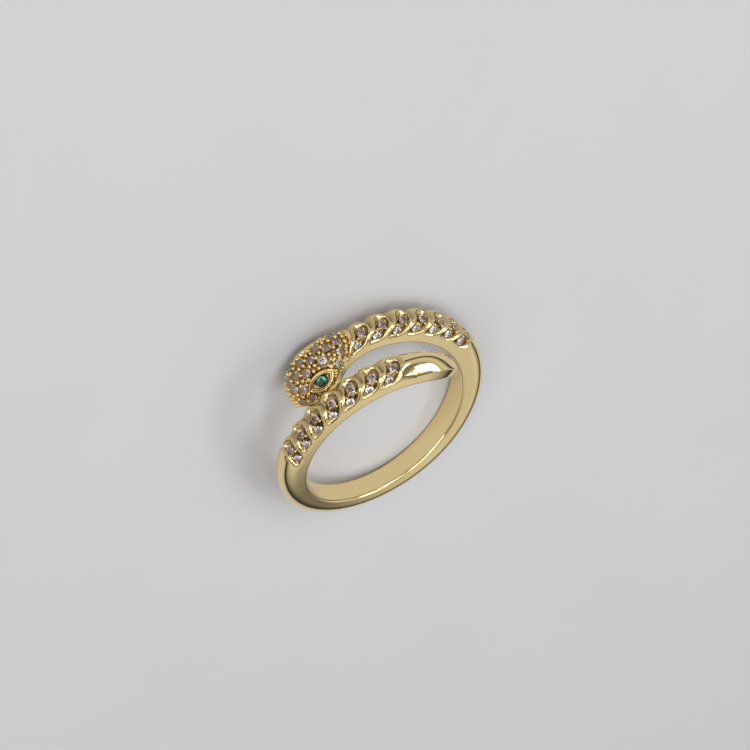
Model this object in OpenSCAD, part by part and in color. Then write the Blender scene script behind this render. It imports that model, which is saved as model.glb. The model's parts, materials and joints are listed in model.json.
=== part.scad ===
/* [Finger] */
// Width of the round finger hole
finger_d = 17.2; // [15:0.1:20]

/* [Wrap] */
// How far each arm climbs to its side of the ring's middle plane
wrap_rise = 2.5; // [2.2:0.1:3.5]
// How far the head leans back towards the tail arm
head_lean = 0.6; // [0:0.1:0.8]

/* [Shank] */
// Width of the plain band at the bottom of the finger
shank_w = 2.1; // [1.8:0.1:2.6]
// Thickness of the plain band at the bottom of the finger
shank_h = 2.0; // [1.6:0.1:2.4]
// Slant of the small chamfer where the hole meets the sides
hole_chamfer = 0.2; // [0.1:0.05:0.3]

/* [Arms] */
// Width of the two ribbed arms
arm_w = 2.6; // [2.4:0.05:3]
// Thickness of the ribbed arms, on top of the ribs
arm_h = 2.5; // [2.3:0.1:2.9]
// Height of the plain rail along each side of an arm
rail_h = 0.95; // [0.7:0.05:1.2]
// Angle along the ring from one pocket to the next
pocket_pitch = 11; // [10:0.5:12]
// How deep the pockets between the ribs are cut
pocket_depth = 0.54; // [0.4:0.02:0.6]
// Angle by which each rib arches towards the tail on the crest
rib_arch = 6.5; // [4:0.5:8]

/* [Tail] */
// Height of the tail's blunt tip
tip_h = 0.75; // [0.7:0.05:1]
// Width of the tail's blunt tip
tip_w = 0.6; // [0.4:0.1:0.8]

/* [Head] */
// Width of the head at its cheeks
head_w = 4.3; // [4:0.1:4.8]
// Height of the head above the finger
head_h = 2.8; // [2.6:0.1:3.2]
// How far the head's metal lies below the tops of its stones
pave_depth = 0.38; // [0.3:0.02:0.4]

/* [Stones] */
// Width of each stone in the arms
arm_stone_d = 0.8; // [0.65:0.05:0.85]
// Width of each stone in the head
head_stone_d = 0.8; // [0.6:0.05:0.8]
// Width of each green eye stone
eye_stone_d = 1; // [0.8:0.05:1.1]

/* [Eyes] */
// Length of the pointed oval rim round an eye
eye_l = 2.8; // [2.6:0.1:3.1]
// Width of that rim
eye_w = 1.6; // [1.4:0.1:1.8]
// Thickness of the rim's wall
eye_wall = 0.2; // [0.15:0.05:0.25]
// How far the rim stands above the stones
eye_rise = 0.1; // [0.05:0.01:0.2]

/* [Hidden] */

// Places along the snake, as angles from the bottom of the finger: the head side is positive
pockets = 7;
neck_first = 197.5;
tail_first = -100.5;
tail_end = -216;
cheek = 216;
nose_reach = 25.5;
nose_close = 83;
// How blunt the snout is: 2 is an ellipse, more is squarer
nose_blunt = 2.35;
eye_at = 220.4;
eye_round = 56;

// Each row is one section of the snake
// Columns: angle, half width, height, side height, roundness
angle = 0;
half = 1;
height = 2;
side = 3;
round = 4;
SECTIONS = [
    [tail_end, tip_w / 2, tip_h, 0.5, 1.5],
    [-213, 0.62, 1.1, 0.85, 1.6],
    [-209, 0.88, 1.38, 1.15, 1.7],
    [-203, 1.1, 1.68, 1.3, 1.8],
    [-195, arm_w / 2 - 0.06, 2.03, 1.25, 1.8],
    [-186, arm_w / 2 - 0.03, arm_h - 0.17, rail_h + 0.1, 1.6],
    [-177, arm_w / 2 - 0.03, arm_h - 0.05, rail_h + 0.02, 1.2],
    [-165, arm_w / 2, arm_h, rail_h + 0.1, 0.85],
    [-135, arm_w / 2, arm_h, rail_h, 0.83],
    [-95, arm_w / 2 - 0.02, arm_h - 0.05, rail_h, 0.83],
    [-55, (arm_w + shank_w) / 4, (arm_h + shank_h) / 2, 0.8, 0.83],
    [0, shank_w / 2, shank_h, 0.7, 0.83],
    [60, (arm_w + shank_w) / 4, (arm_h + shank_h) / 2, 0.8, 0.83],
    [115, arm_w / 2 - 0.02, arm_h - 0.05, rail_h, 0.83],
    [145, arm_w / 2, arm_h, rail_h, 0.83],
    [180, arm_w / 2 - 0.02, arm_h, rail_h, 0.83],
    [196, arm_w / 2 - 0.05, arm_h - 0.05, rail_h, 0.83],
    [206, head_w / 2 - 0.7, head_h - 0.4, 0.8, 0.83],
    [cheek, head_w / 2, head_h, 0.6, 0.83],
    [cheek + nose_reach, head_w / 2 + 0.15, head_h + 0.2, 0.6, 0.83]
];

// Angles round the section of the stones in one pocket
ARM_ROUNDS = [-71, 22, 71];
// The crest stays whole between these angles, where a rib arches over each pocket's end
near_end = [-28, -4];
far_end = [44, 58];

// Each row is one row of stones across the head
// Columns: angle, number of stones, the angle round the section from one to the next, and the row's middle
HEAD_ROWS = [
    [209.5, 3, 31, 0],
    [211, 1, 0, 56],
    [213.5, 1, 0, 0],
    [216.5, 2, 34, 0],
    [219.7, 1, 0, 0],
    [223.2, 2, 29, 0],
    [227.3, 1, 0, 0],
    [228.8, 2, 70, 0],
    [229, 2, 146, 0],
    [232.4, 2, 25, 0],
    [234.2, 2, 128, 0]
];

finger_r = finger_d / 2;
// Half of a rib's length, as a share of the pitch
rib_half = 0.28;
// Where the cuts begin to fade towards the rails, round the section
rail_from = 80;
// Where the paved top of the head begins, and where it is fully cut down
pave_from = neck_first + 0.55 * pocket_pitch;
pave_full = neck_first + 0.8 * pocket_pitch;
// Where the ribs' arching begins and ends along the snake
arch_full_tail = -180;
arch_full_head = 206;
arch_none_head = 228;
// How much of the side's and the chamfer's height is left at the end of the snout
nose_side = 0.35;
nose_chamfer = 0.3;
// How far the underside reaches into the hole before the hole is cut, and how far its two ends stay clear
hole_overlap = 0.4;
end_slope = 0.3;
end_lift = 0.1;
chamfer_h = 0.35;
// Clear space between a stone's point and the metal below it
seat_gap = 0.07;
eye_stone_lift = 0.04;
eye_rim_depth = 0.8;
// Steps round and along the skin
round_steps = [-90, -82, each [-75:15:75], 82, 90];
steps_per_pocket = 8;
tail_steps = 20;
shank_steps = 42;
cheek_steps = 9;
nose_steps = 10;

// A smooth curve through one column of a table
function slope(t, i, c) =
    let(lo = max(i - 1, 0), hi = min(i + 1, len(t) - 1))
    (t[hi][c] - t[lo][c]) / (t[hi][angle] - t[lo][angle]);
function row_below(t, a) = max([for (i = [0:len(t) - 2]) if (i == 0 || a >= t[i][angle]) i]);
function along(a, c) =
    let(t = SECTIONS, i = row_below(t, a), span = t[i + 1][angle] - t[i][angle],
        s = (a - t[i][angle]) / span, s2 = s * s, s3 = s2 * s)
    (2 * s3 - 3 * s2 + 1) * t[i][c] + (s3 - 2 * s2 + s) * span * slope(t, i, c)
    + (3 * s2 - 2 * s3) * t[i + 1][c] + (s3 - s2) * span * slope(t, i + 1, c);

// 0 before one angle, 1 after the other, smooth between
function ease(a, from, to) = let(s = min(max((a - from) / (to - from), 0), 1)) s * s * (3 - 2 * s);

// The rounding of the nose, 1 behind the cheeks and 0 at the end of the snout
function nose(a) = a <= cheek ? 1 : pow(max(1 - pow((a - cheek) / nose_reach, nose_blunt), 0), 1 / nose_blunt);

// 1 in the middle of a pocket, 0 on top of a rib and on the plain metal
function cut_in(a, first) =
    let(f = (a - first) / pocket_pitch + 0.5)
    f <= 0 || f >= pockets ? 0
    : let(from_rib = min(f - floor(f), ceil(f) - f) / rib_half)
      1 - sqrt(max(1 - from_rib * from_rib, 0));
function pocket_cut(a) =
    let(back = (pockets - 1) * pocket_pitch)
    pocket_depth * (cut_in(a, tail_first - back) + cut_in(a, neck_first - back));
function pave_cut(a) = pave_depth * nose(a) * ease(a, pave_from, pave_full);
// 1 where the pockets are open, 0 on the crest between them
function off_crest(v) = ease(v, near_end[0], near_end[1]) + ease(-v, far_end[0], far_end[1]);
// The cuts fade out at the rails
function off_rail(v) = 1 - ease(abs(v), rail_from, 90);

// How far the ribs arch: nothing at the two ends of the snake
function arch(a, v) =
    -rib_arch * (1 - pow(v / 90, 2))
    * ease(a, tail_end, arch_full_tail) * (1 - ease(a, arch_full_head, arch_none_head));

// Height of the snake's middle line over the ring's middle plane
function rise(a) = -wrap_rise * sin(a / 2) + head_lean * ease(a, 180, eye_at);

// A point by its angle along the snake, its distance over the finger and its place across
function place(a, over, across) =
    [(finger_r + over) * sin(a), -(finger_r + over) * cos(a), rise(a) + across];

function signed_pow(x, e) = sign(x) * pow(abs(x), e);
// From 1 behind the cheeks to what is left at the end of the snout
function shrink(n, left) = left + (1 - left) * n;
// A point of the outer skin, v degrees round the section from its crest, with its cut depth
function skin(a, v, cut) =
    let(n = nose(a), s = along(a, side), e = along(a, round),
        w = along(a, half) * n - cut * off_rail(v),
        h = (along(a, height) - s) * n - cut * off_rail(v),
        over = s * shrink(n, nose_side) + h * signed_pow(cos(v), e),
        across = max(w, 0.05) * signed_pow(sin(v), min(e, 1)))
    place(a + arch(a, v), over, across);

// How far the underside reaches into the hole: the two ends stay just clear of the finger
head_end = cheek + nose_reach * sin(nose_close);
function reach(a) = min(hole_overlap, end_slope * min(a - tail_end, head_end - a) - end_lift);

// The ring of points of one section, from the hole on one side round the crest to the other
function section(a) =
    let(pocket = pocket_cut(a), pave = pave_cut(a), w = along(a, half) * nose(a),
        low = 0.8 * (w - min(hole_chamfer, w / 3)),
        edge = chamfer_h * shrink(nose(a), nose_chamfer))
    concat(
        [place(a, -reach(a), -low), place(a, edge, -w)],
        [for (v = round_steps) skin(a, v, pocket * off_crest(v) + pave)],
        [place(a, edge, w), place(a, -reach(a), low)]);

// The angles at which sections are taken
function steps(from, to, n) = [for (i = [0:n - 1]) from + (to - from) * i / n];
tail_root = tail_first - (pockets - 0.5) * pocket_pitch;
neck_root = neck_first - (pockets - 0.5) * pocket_pitch;
stations = concat(
    steps(tail_end, tail_root, tail_steps),
    steps(tail_root, tail_root + pockets * pocket_pitch, pockets * steps_per_pocket),
    steps(tail_root + pockets * pocket_pitch, neck_root, shank_steps),
    steps(neck_root, neck_root + pockets * pocket_pitch, pockets * steps_per_pocket),
    steps(neck_root + pockets * pocket_pitch, cheek, cheek_steps),
    [for (i = [0:nose_steps]) cheek + nose_reach * sin(nose_close * i / nose_steps)]);

// A closed skin over rings of points, each ring with the same number
module sweep(rings) {
    n = len(rings[0]);
    last = (len(rings) - 1) * n;
    polyhedron(
        points = [for (ring = rings) each ring],
        faces = concat(
            [for (i = [0:len(rings) - 2], j = [0:n - 1])
                each let(p = i * n + j, q = i * n + (j + 1) % n) [[p, q, p + n], [q, q + n, p + n]]],
            [for (j = [1:n - 2]) [0, j + 1, j]],
            [for (j = [1:n - 2]) [last, last + j, last + j + 1]]));
}

// The outward direction of the skin, from two short steps on it
function unit(p) = p / norm(p);
function outward(a, v) =
    unit(cross(skin(a + 0.5, v, 0) - skin(a - 0.5, v, 0), skin(a, v + 2, 0) - skin(a, v - 2, 0)));

// Puts children on the skin, with their own Z outwards and their X along the snake
module on_skin(a, v, lift) {
    z = outward(a, v);
    x = unit(skin(a + 0.5, v, 0) - skin(a - 0.5, v, 0));
    y = cross(z, x);
    p = skin(a, v, 0) + lift * z;
    multmatrix([
        [x.x, y.x, z.x, p.x],
        [x.y, y.y, z.y, p.y],
        [x.z, y.z, z.z, p.z],
        [0, 0, 0, 1]])
        children();
}

// An eight-sided brilliant: a table, a crown, and a pavilion that ends in a point; its girdle is at Z = 0
crown = 0.16;
pavilion = 0.36;
table = 0.56;
module brilliant(d) {
    ring = [for (i = [0:7]) [cos(45 * i), sin(45 * i)]];
    polyhedron(
        points = concat(
            [for (p = ring) [p.x * d * table / 2, p.y * d * table / 2, d * crown]],
            [for (p = ring) [p.x * d / 2, p.y * d / 2, 0]],
            [[0, 0, -d * pavilion]]),
        faces = concat(
            [[7, 6, 5, 4, 3, 2, 1, 0]],
            [for (i = [0:7]) [i, (i + 1) % 8, 8 + (i + 1) % 8, 8 + i]],
            [for (i = [0:7]) [8 + i, 8 + (i + 1) % 8, 16]]));
}

// How far over the skin a stone's girdle lies, for its point to stay clear of the metal cut away below it
function seat_lift(d, cut) = d * pavilion + seat_gap - cut;

// A pointed oval, the overlap of two round discs
module pointed_oval(l, w) {
    r = (l * l + w * w) / (4 * w);
    intersection() {
        translate([0, r - w / 2]) circle(r = r, $fn = 64);
        translate([0, w / 2 - r]) circle(r = r, $fn = 64);
    }
}

module eye_rim(s) {
    on_skin(eye_at, s * eye_round, eye_rise)
        translate([0, 0, -eye_rim_depth])
            linear_extrude(height = eye_rim_depth)
                difference() {
                    pointed_oval(eye_l, eye_w);
                    pointed_oval(eye_l - 3 * eye_wall, eye_w - 2 * eye_wall);
                }
}

// The whole ring is turned to the way it lies on a table: tail arm up, leaning on its head and shank
rest_turn = [9.18, -1.16, 180.2];
rest_shift = [-0.013, 0.423, 3.013];
module at_rest() {
    translate(rest_shift) rotate(rest_turn) children();
}

// The cast metal: the whole snake in one piece, with the round finger hole cut through it
module band() {
    color("gold") at_rest() difference() {
        union() {
            sweep([for (a = stations) section(a)]);
            eye_rim(1);
            eye_rim(-1);
        }
        cylinder(r = finger_r, h = 40, center = true, $fn = 180);
    }
}

// Three stones across each pocket of an arm
module arm_stones(first) {
    color("mistyrose") at_rest()
        for (i = [0:pockets - 1], v = ARM_ROUNDS)
            on_skin(first - i * pocket_pitch, v, seat_lift(arm_stone_d, pocket_depth * off_rail(v)))
                brilliant(arm_stone_d);
}

module neck_stones() {
    arm_stones(neck_first);
}

module tail_stones() {
    arm_stones(tail_first);
}

module head_stones() {
    color("rosybrown") at_rest()
        for (row = HEAD_ROWS, i = [0:row[1] - 1])
            let(a = row[0], v = row[3] + row[2] * (i - (row[1] - 1) / 2))
                on_skin(a, v, seat_lift(head_stone_d, pave_cut(a) * off_rail(v)))
                    brilliant(head_stone_d);
}

module eye_stone(s) {
    color("seagreen") at_rest()
        on_skin(eye_at, s * eye_round, eye_stone_lift) brilliant(eye_stone_d);
}

module eye_stone_left() {
    eye_stone(1);
}

module eye_stone_right() {
    eye_stone(-1);
}

band();
neck_stones();
tail_stones();
head_stones();
eye_stone_left();
eye_stone_right();
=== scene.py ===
# %% [markdown]
# # A gold snake ring, set with small stones
#
# The real ring is one casting in yellow gold. A snake winds once and a bit round the finger, so that its
# head and its tail pass each other on top. Both arms are ribbed, and between the ribs lie pockets with
# three small stones each. The head is paved with stones, and each eye is a green stone in a raised
# pointed-oval rim.
#
# The imported model comes first. It fixes every size and place.

# %% Load the frame
import json
import math
from functools import partial

import bpy
import numpy as np
from mathutils import Matrix, Vector

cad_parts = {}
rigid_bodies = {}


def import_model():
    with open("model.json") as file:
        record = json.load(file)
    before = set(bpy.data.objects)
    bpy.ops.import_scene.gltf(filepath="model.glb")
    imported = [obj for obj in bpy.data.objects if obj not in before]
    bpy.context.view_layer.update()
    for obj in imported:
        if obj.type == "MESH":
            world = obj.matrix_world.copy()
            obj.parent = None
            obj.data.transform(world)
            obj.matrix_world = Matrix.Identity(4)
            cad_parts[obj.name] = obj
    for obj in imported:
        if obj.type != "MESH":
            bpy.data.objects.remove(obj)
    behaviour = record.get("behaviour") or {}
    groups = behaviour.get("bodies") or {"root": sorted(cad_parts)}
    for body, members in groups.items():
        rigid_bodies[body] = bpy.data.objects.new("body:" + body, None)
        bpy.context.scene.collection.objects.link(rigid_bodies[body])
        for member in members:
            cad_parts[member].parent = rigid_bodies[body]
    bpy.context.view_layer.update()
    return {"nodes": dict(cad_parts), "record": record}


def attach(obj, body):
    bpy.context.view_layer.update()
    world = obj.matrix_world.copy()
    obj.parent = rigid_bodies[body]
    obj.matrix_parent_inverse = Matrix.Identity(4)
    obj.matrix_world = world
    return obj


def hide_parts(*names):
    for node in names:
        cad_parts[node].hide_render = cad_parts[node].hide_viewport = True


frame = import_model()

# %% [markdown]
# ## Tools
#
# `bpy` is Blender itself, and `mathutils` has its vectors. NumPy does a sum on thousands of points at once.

print("packed nodes:", sorted(frame["nodes"]))

# %% [markdown]
# ## The ring's own frame
#
# A ring is easiest to describe round its finger hole, in millimetres: one angle says how far along the snake
# a point lies, counted from the bottom of the finger, and a second angle says how far round the snake's
# section. The finished ring lies on its side on a table, so every point is turned and shifted once, at the
# very end.

# %% From the ring's own frame to the table
MM = 0.001
REST_TURN = (9.18, -1.16, 180.2)
REST_SHIFT = (-0.013, 0.423, 3.013)
finger_hole = frame["record"]["mounts"][0]
finger_r = finger_hole["dims"]["r_mm"]

turn_x, turn_y, turn_z = (Matrix.Rotation(math.radians(t), 3, axis) for t, axis in zip(REST_TURN, "XYZ"))
LAY = np.array(turn_z @ turn_y @ turn_x)


def turned(directions):
    """Directions in the ring's own frame, as they point on the table."""
    return np.asarray(directions, float) @ LAY.T


def at_rest(points):
    """Points in the ring's own frame, in mm, as places on the table, in metres."""
    return (turned(points) + REST_SHIFT) * MM


print("finger hole axis, packed and here:", finger_hole["axis"], turned([0, 0, 1]).round(4))

# %% [markdown]
# ## The snake's measures
#
# These are the driving sizes of the casting. The table gives the section at a few angles along the snake, and
# a smooth curve through each column fills in the rest. Between two rows the curve leaves with the slope that
# the neighbours give it, which is what a jeweller's eye does when it files one shape into the next.
#
# The last column says how full the rounded top is: 1 is a half ellipse, less is boxier, and more is pinched
# to a ridge, as on the plain tail.

# %% Driving sizes, in mm and degrees
wrap_rise = 2.5
head_lean = 0.6
shank_w, shank_h = 2.1, 2.0
arm_w, arm_h, rail_h = 2.6, 2.5, 0.95
pocket_pitch, pocket_depth, rib_arch = 11.0, 0.54, 6.5
tip_h, tip_w = 0.75, 0.6
head_w, head_h, pave_depth = 4.3, 2.8, 0.38
pockets, neck_first, tail_first = 7, 197.5, -100.5
tail_end, cheek, nose_reach, nose_blunt = -216.0, 216.0, 25.5, 2.35
eye_at, eye_round, rail_from = 220.4, 56.0, 80.0
pave_from = neck_first + 0.55 * pocket_pitch
pave_full = neck_first + 0.8 * pocket_pitch
nose_side = 0.35

ANGLE, HALF, HEIGHT, SIDE, ROUND = range(5)
SECTIONS = np.array([
    [tail_end, tip_w / 2, tip_h, 0.5, 1.1],
    [-213, 0.62, 1.1, 0.85, 1.15],
    [-209, 0.88, 1.38, 1.15, 1.3],
    [-203, 1.1, 1.68, 1.3, 1.6],
    [-195, arm_w / 2 - 0.06, 2.03, 1.25, 1.8],
    [-186, arm_w / 2 - 0.03, arm_h - 0.17, rail_h + 0.1, 1.6],
    [-177, arm_w / 2 - 0.03, arm_h - 0.05, rail_h + 0.02, 1.2],
    [-165, arm_w / 2, arm_h, rail_h + 0.1, 0.85],
    [-135, arm_w / 2, arm_h, rail_h, 0.83],
    [-95, arm_w / 2 - 0.02, arm_h - 0.05, rail_h, 0.83],
    [-55, (arm_w + shank_w) / 4, (arm_h + shank_h) / 2, 0.8, 0.83],
    [0, shank_w / 2, shank_h, 0.7, 0.83],
    [60, (arm_w + shank_w) / 4, (arm_h + shank_h) / 2, 0.8, 0.83],
    [115, arm_w / 2 - 0.02, arm_h - 0.05, rail_h, 0.83],
    [145, arm_w / 2, arm_h, rail_h, 0.83],
    [180, arm_w / 2 - 0.02, arm_h, rail_h, 0.83],
    [196, arm_w / 2 - 0.05, arm_h - 0.05, rail_h, 0.83],
    [206, head_w / 2 - 0.7, head_h - 0.4, 0.8, 0.83],
    [cheek, head_w / 2, head_h, 0.6, 0.83],
    [cheek + nose_reach, head_w / 2 + 0.15, head_h + 0.2, 0.6, 0.83],
])
print("sections in the table:", len(SECTIONS))


# %% Curves through the table
def along(a, column):
    """A smooth curve through one column of the table."""
    t = SECTIONS
    before = np.maximum(np.arange(len(t)) - 1, 0)
    after = np.minimum(np.arange(len(t)) + 1, len(t) - 1)
    slope = (t[after, column] - t[before, column]) / (t[after, ANGLE] - t[before, ANGLE])
    i = np.clip(np.searchsorted(t[:, ANGLE], a, side="right") - 1, 0, len(t) - 2)
    span = t[i + 1, ANGLE] - t[i, ANGLE]
    s = (a - t[i, ANGLE]) / span
    start = (2 * s**3 - 3 * s**2 + 1) * t[i, column] + (s**3 - 2 * s**2 + s) * span * slope[i]
    end = (3 * s**2 - 2 * s**3) * t[i + 1, column] + (s**3 - s**2) * span * slope[i + 1]
    return start + end


def ease(x, low, high):
    """0 before low, 1 after high, smooth between."""
    s = np.clip((np.asarray(x, float) - low) / (high - low), 0, 1)
    return s * s * (3 - 2 * s)


print("arm width at the middle of the neck:", round(2 * float(along(np.array(160.0), HALF)), 2), "mm")

# %% [markdown]
# ## From two angles to a point
#
# `skin` is the heart of the model. It takes the angle along the snake and the angle round its section, and
# gives the point on the smooth body, before any pocket is cut. The ribs arch back towards the tail like a row
# of brackets, so the point slides along the snake near the crest. The snout closes like the end of an egg.
# The flanks of the plain tail are filed a little hollow, which gathers their shine in one long highlight.

# %% The snout, the arch of the ribs and the wrap
arch_in, arch_out = (tail_end, -180), (206, 228)
lean_from = 180


def nose(a):
    """1 behind the cheeks, 0 at the end of the snout."""
    return np.clip(1 - (np.maximum(a - cheek, 0) / nose_reach) ** nose_blunt, 0, 1) ** (1 / nose_blunt)


def arch(a, v):
    """How far the ribs arch back at this place of the section, in degrees."""
    return -rib_arch * (1 - (v / 90) ** 2) * ease(a, *arch_in) * (1 - ease(a, *arch_out))


def place(a, over, across):
    """A point by its angle along the snake, its height over the finger and its place across."""
    q = np.radians(a)
    rise = -wrap_rise * np.sin(q / 2) + head_lean * ease(a, lean_from, eye_at)
    r = finger_r + over
    return np.stack([r * np.sin(q), -r * np.cos(q), rise + across], -1)


print("the ribs' feet stand", rib_arch, "degrees from their crests")

# %% The smooth skin
hollow_in, hollow_out, hollow_depth = (172, 184), (203, 212), 0.2
thinnest = 0.02
step_along, step_round = 0.5, 2


def signed_power(x, e):
    return np.sign(x) * np.abs(x) ** e


def unit(ways):
    return ways / np.linalg.norm(ways, axis=-1, keepdims=True)


def tail_hollow(a):
    """1 along the plain tail, whose flanks are a little hollow, and 0 elsewhere."""
    return ease(-a, *hollow_in) * (1 - ease(-a, *hollow_out))


def skin(a, v):
    """The point of the smooth body at angle a along the snake and v round its section."""
    a, v = np.broadcast_arrays(np.asarray(a, float), np.asarray(v, float))
    n, side, e = nose(a), along(a, SIDE), along(a, ROUND)
    half = np.maximum(along(a, HALF) * n, thinnest)
    height = (along(a, HEIGHT) - side) * n
    q = np.radians(v)
    top = height * signed_power(np.cos(q), e + hollow_depth * tail_hollow(a))
    over = side * (nose_side + (1 - nose_side) * n) + top
    return place(a + arch(a, v), over, half * signed_power(np.sin(q), np.minimum(e, 1)))


def skin_frame(a, v):
    """The point, the way out of the metal, and the way along the snake, all in the ring's own frame."""
    way = skin(a + step_along, v) - skin(a - step_along, v)
    out = np.cross(way, skin(a, v + step_round) - skin(a, v - step_round))
    return skin(a, v), unit(out), unit(way)


print("crest of the cheeks, in mm:", skin(cheek, 0).round(2))

# %% [markdown]
# ## The camera
#
# The photograph was matched by points on the finger hole and on both rows of pockets. The answer
# is a long lens, well back, looking down at the top of the ring. The camera keeps that angle to the ring, and
# since the ring lies on its side it also stands well above the table.

# %% Camera
CAMERA_AT = (-88.33, 187.64, 140.84)
CAMERA_RIGHT = (0.8969, 0.0953, 0.4319)
CAMERA_FORWARD = (0.3549, -0.7377, -0.5743)
FOCAL_PIXELS, PHOTO_PIXELS = 2782.8, 750

right = Vector(turned(CAMERA_RIGHT)).normalized()
back = -Vector(turned(CAMERA_FORWARD)).normalized()
up = back.cross(right).normalized()
right = up.cross(back)
camera_data = bpy.data.cameras.new("camera")
camera_data.sensor_width = 36
camera_data.lens = FOCAL_PIXELS / PHOTO_PIXELS * camera_data.sensor_width
camera_data.clip_start, camera_data.clip_end = 0.01, 20
camera = bpy.data.objects.new("camera", camera_data)
camera.matrix_world = Matrix((right, up, back)).transposed().to_4x4()
camera.location = at_rest(CAMERA_AT)
bpy.context.scene.collection.objects.link(camera)
bpy.context.scene.camera = camera
print("lens", round(camera_data.lens, 1), "mm, camera", round(camera.location.z * 1000), "mm above the table")

# %% [markdown]
# ## Small helpers
#
# A new mesh shows only once an object holds it and the scene holds the object. A node's settings take a line
# each, and every material starts from the same shader. These helpers do such steps in one line.

# %% Helpers for meshes and objects
def new_mesh(name, points, faces=()):
    mesh = bpy.data.meshes.new(name)
    mesh.from_pydata(points, [], faces)
    return mesh


def shown_object(name, mesh, material=None):
    """A new object for a mesh, linked to the scene."""
    made = bpy.data.objects.new(name, mesh)
    bpy.context.scene.collection.objects.link(made)
    if material:
        mesh.materials.clear()
        mesh.materials.append(material)
    return made


# %% Helpers for nodes and materials
def add(tree, kind, values=None, **settings):
    """A node of that kind. Each value is set on its socket, or linked to it if it is a socket too."""
    node = tree.nodes.new(kind)
    for key, value in settings.items():
        setattr(node, key, value)
    for key, value in (values or {}).items():
        if isinstance(value, bpy.types.NodeSocket):
            tree.links.new(value, node.inputs[key])
        else:
            node.inputs[key].default_value = value
    return node


def new_material(name, finish):
    """A material whose shader has the finish that is the same all over, its tree, and its coordinates."""
    material = bpy.data.materials.new(name)
    material.use_nodes = True
    tree = material.node_tree
    shader = next(n for n in tree.nodes if n.type == "BSDF_PRINCIPLED")
    for key, value in finish.items():
        shader.inputs[key].default_value = value
    return material, tree, shader, tree.nodes.new("ShaderNodeTexCoord").outputs["Object"]


def calc(kind, tree, *values):
    """One Math node. Its inputs are numbers or sockets."""
    return add(tree, "ShaderNodeMath", dict(enumerate(values)), operation=kind).outputs[0]


times, plus, minus, larger = (partial(calc, kind) for kind in ("MULTIPLY", "ADD", "SUBTRACT", "MAXIMUM"))
print("short names for Math nodes:", [short.args[0] for short in (times, plus, minus, larger)])

# %% [markdown]
# ## The table
#
# The ring lies on a plain pale table, a hair cooler than grey, with a faint grain in its tone.

# %% Table
TABLE_HALF, TABLE_GRAIN, TABLE_COOL = 1.5, 60.0, 1.04
TABLE_DARK, TABLE_PALE = 0.61, 0.64
TABLE_FINISH = {"Roughness": 0.7, "Specular IOR Level": 0.2}

table_material, tree, shader, coordinates = new_material("pale_table", TABLE_FINISH)
grain = add(tree, "ShaderNodeTexNoise", {"Vector": coordinates, "Scale": TABLE_GRAIN, "Detail": 4.0})
tone = add(tree, "ShaderNodeMapRange", {
    "Value": grain.outputs["Fac"], "To Min": TABLE_DARK, "To Max": TABLE_PALE}).outputs[0]
cool = times(tree, tone, TABLE_COOL)
shade = add(tree, "ShaderNodeCombineColor", {"Red": tone, "Green": tone, "Blue": cool})
tree.links.new(shade.outputs[0], shader.inputs["Base Color"])

corners = [(x * TABLE_HALF, y * TABLE_HALF, 0) for x, y in ((-1, -1), (1, -1), (1, 1), (-1, 1))]
shown_object("table", new_mesh("table", corners, [(0, 1, 2, 3)]), table_material)
print("table:", 2 * TABLE_HALF, "m wide")

# %% [markdown]
# ## The lamps
#
# Polished gold shows its surroundings more than itself, so a lamp stands where a face of the ring mirrors it
# to the camera: one on each side for the rails and hoods, one for the long leaf of light on the plain tail,
# one beside the camera for the stones, and one overhead. A lamp's place is told by two angles in the ring's
# own frame, and its size by how many degrees wide it looks from the ring.

# %% Lamps
LAMP_DISTANCE, WATTS_FOR_ONE = 0.35, 4
LAMPS = [
    # name, degrees around and above, degrees wide and high, brightness
    ("right_softbox", 68, 44, 20, 32, 2.9),
    ("leaf_softbox", 0, 52, 34, 13, 3.2),
    ("left", 150, 35, 26, 24, 2.2),
    ("by_camera", 116, 62, 24, 20, 2.4),
    ("overhead", 0, 88, 26, 26, 1.2),
]
centre = Vector(at_rest((0, 3, 0)))


def lamp(name, around, above, wide, high, brightness):
    """A soft lamp that shines at the ring. It takes four watts a square metre to look as bright as 1."""
    data = bpy.data.lights.new(name, "AREA")
    data.shape = "RECTANGLE"
    data.size, data.size_y = (2 * LAMP_DISTANCE * math.tan(math.radians(angle / 2)) for angle in (wide, high))
    data.energy = brightness * WATTS_FOR_ONE * data.size * data.size_y
    made = bpy.data.objects.new(name, data)
    side, lift = math.radians(around), math.radians(above)
    way = Vector(turned((math.cos(lift) * math.cos(side), math.cos(lift) * math.sin(side), math.sin(lift))))
    made.location = centre + way * LAMP_DISTANCE
    made.rotation_mode = "QUATERNION"
    made.rotation_quaternion = way.to_track_quat("Z", "Y")
    bpy.context.scene.collection.objects.link(made)


for row in LAMPS:
    lamp(*row)
print("lamps:", [row[0] for row in LAMPS])

# %% [markdown]
# ## The room
#
# Between the lamps the metal mirrors the room. It is nearly black at the height of the table, which draws the
# thin dark lines of the edges. It is brightest a third of the way up, for the wide pale reflections, and dark
# again higher up, which gives the olive bands beside the highlights.

# %% Room
ROOM_TONES = [(0.0, 0.04), (0.12, 0.06), (0.26, 0.36), (0.45, 0.7), (0.64, 0.55), (0.8, 0.14), (1.0, 0.28)]
ROOM_WARM, ROOM_COOL = 1.01, 0.97

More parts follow.
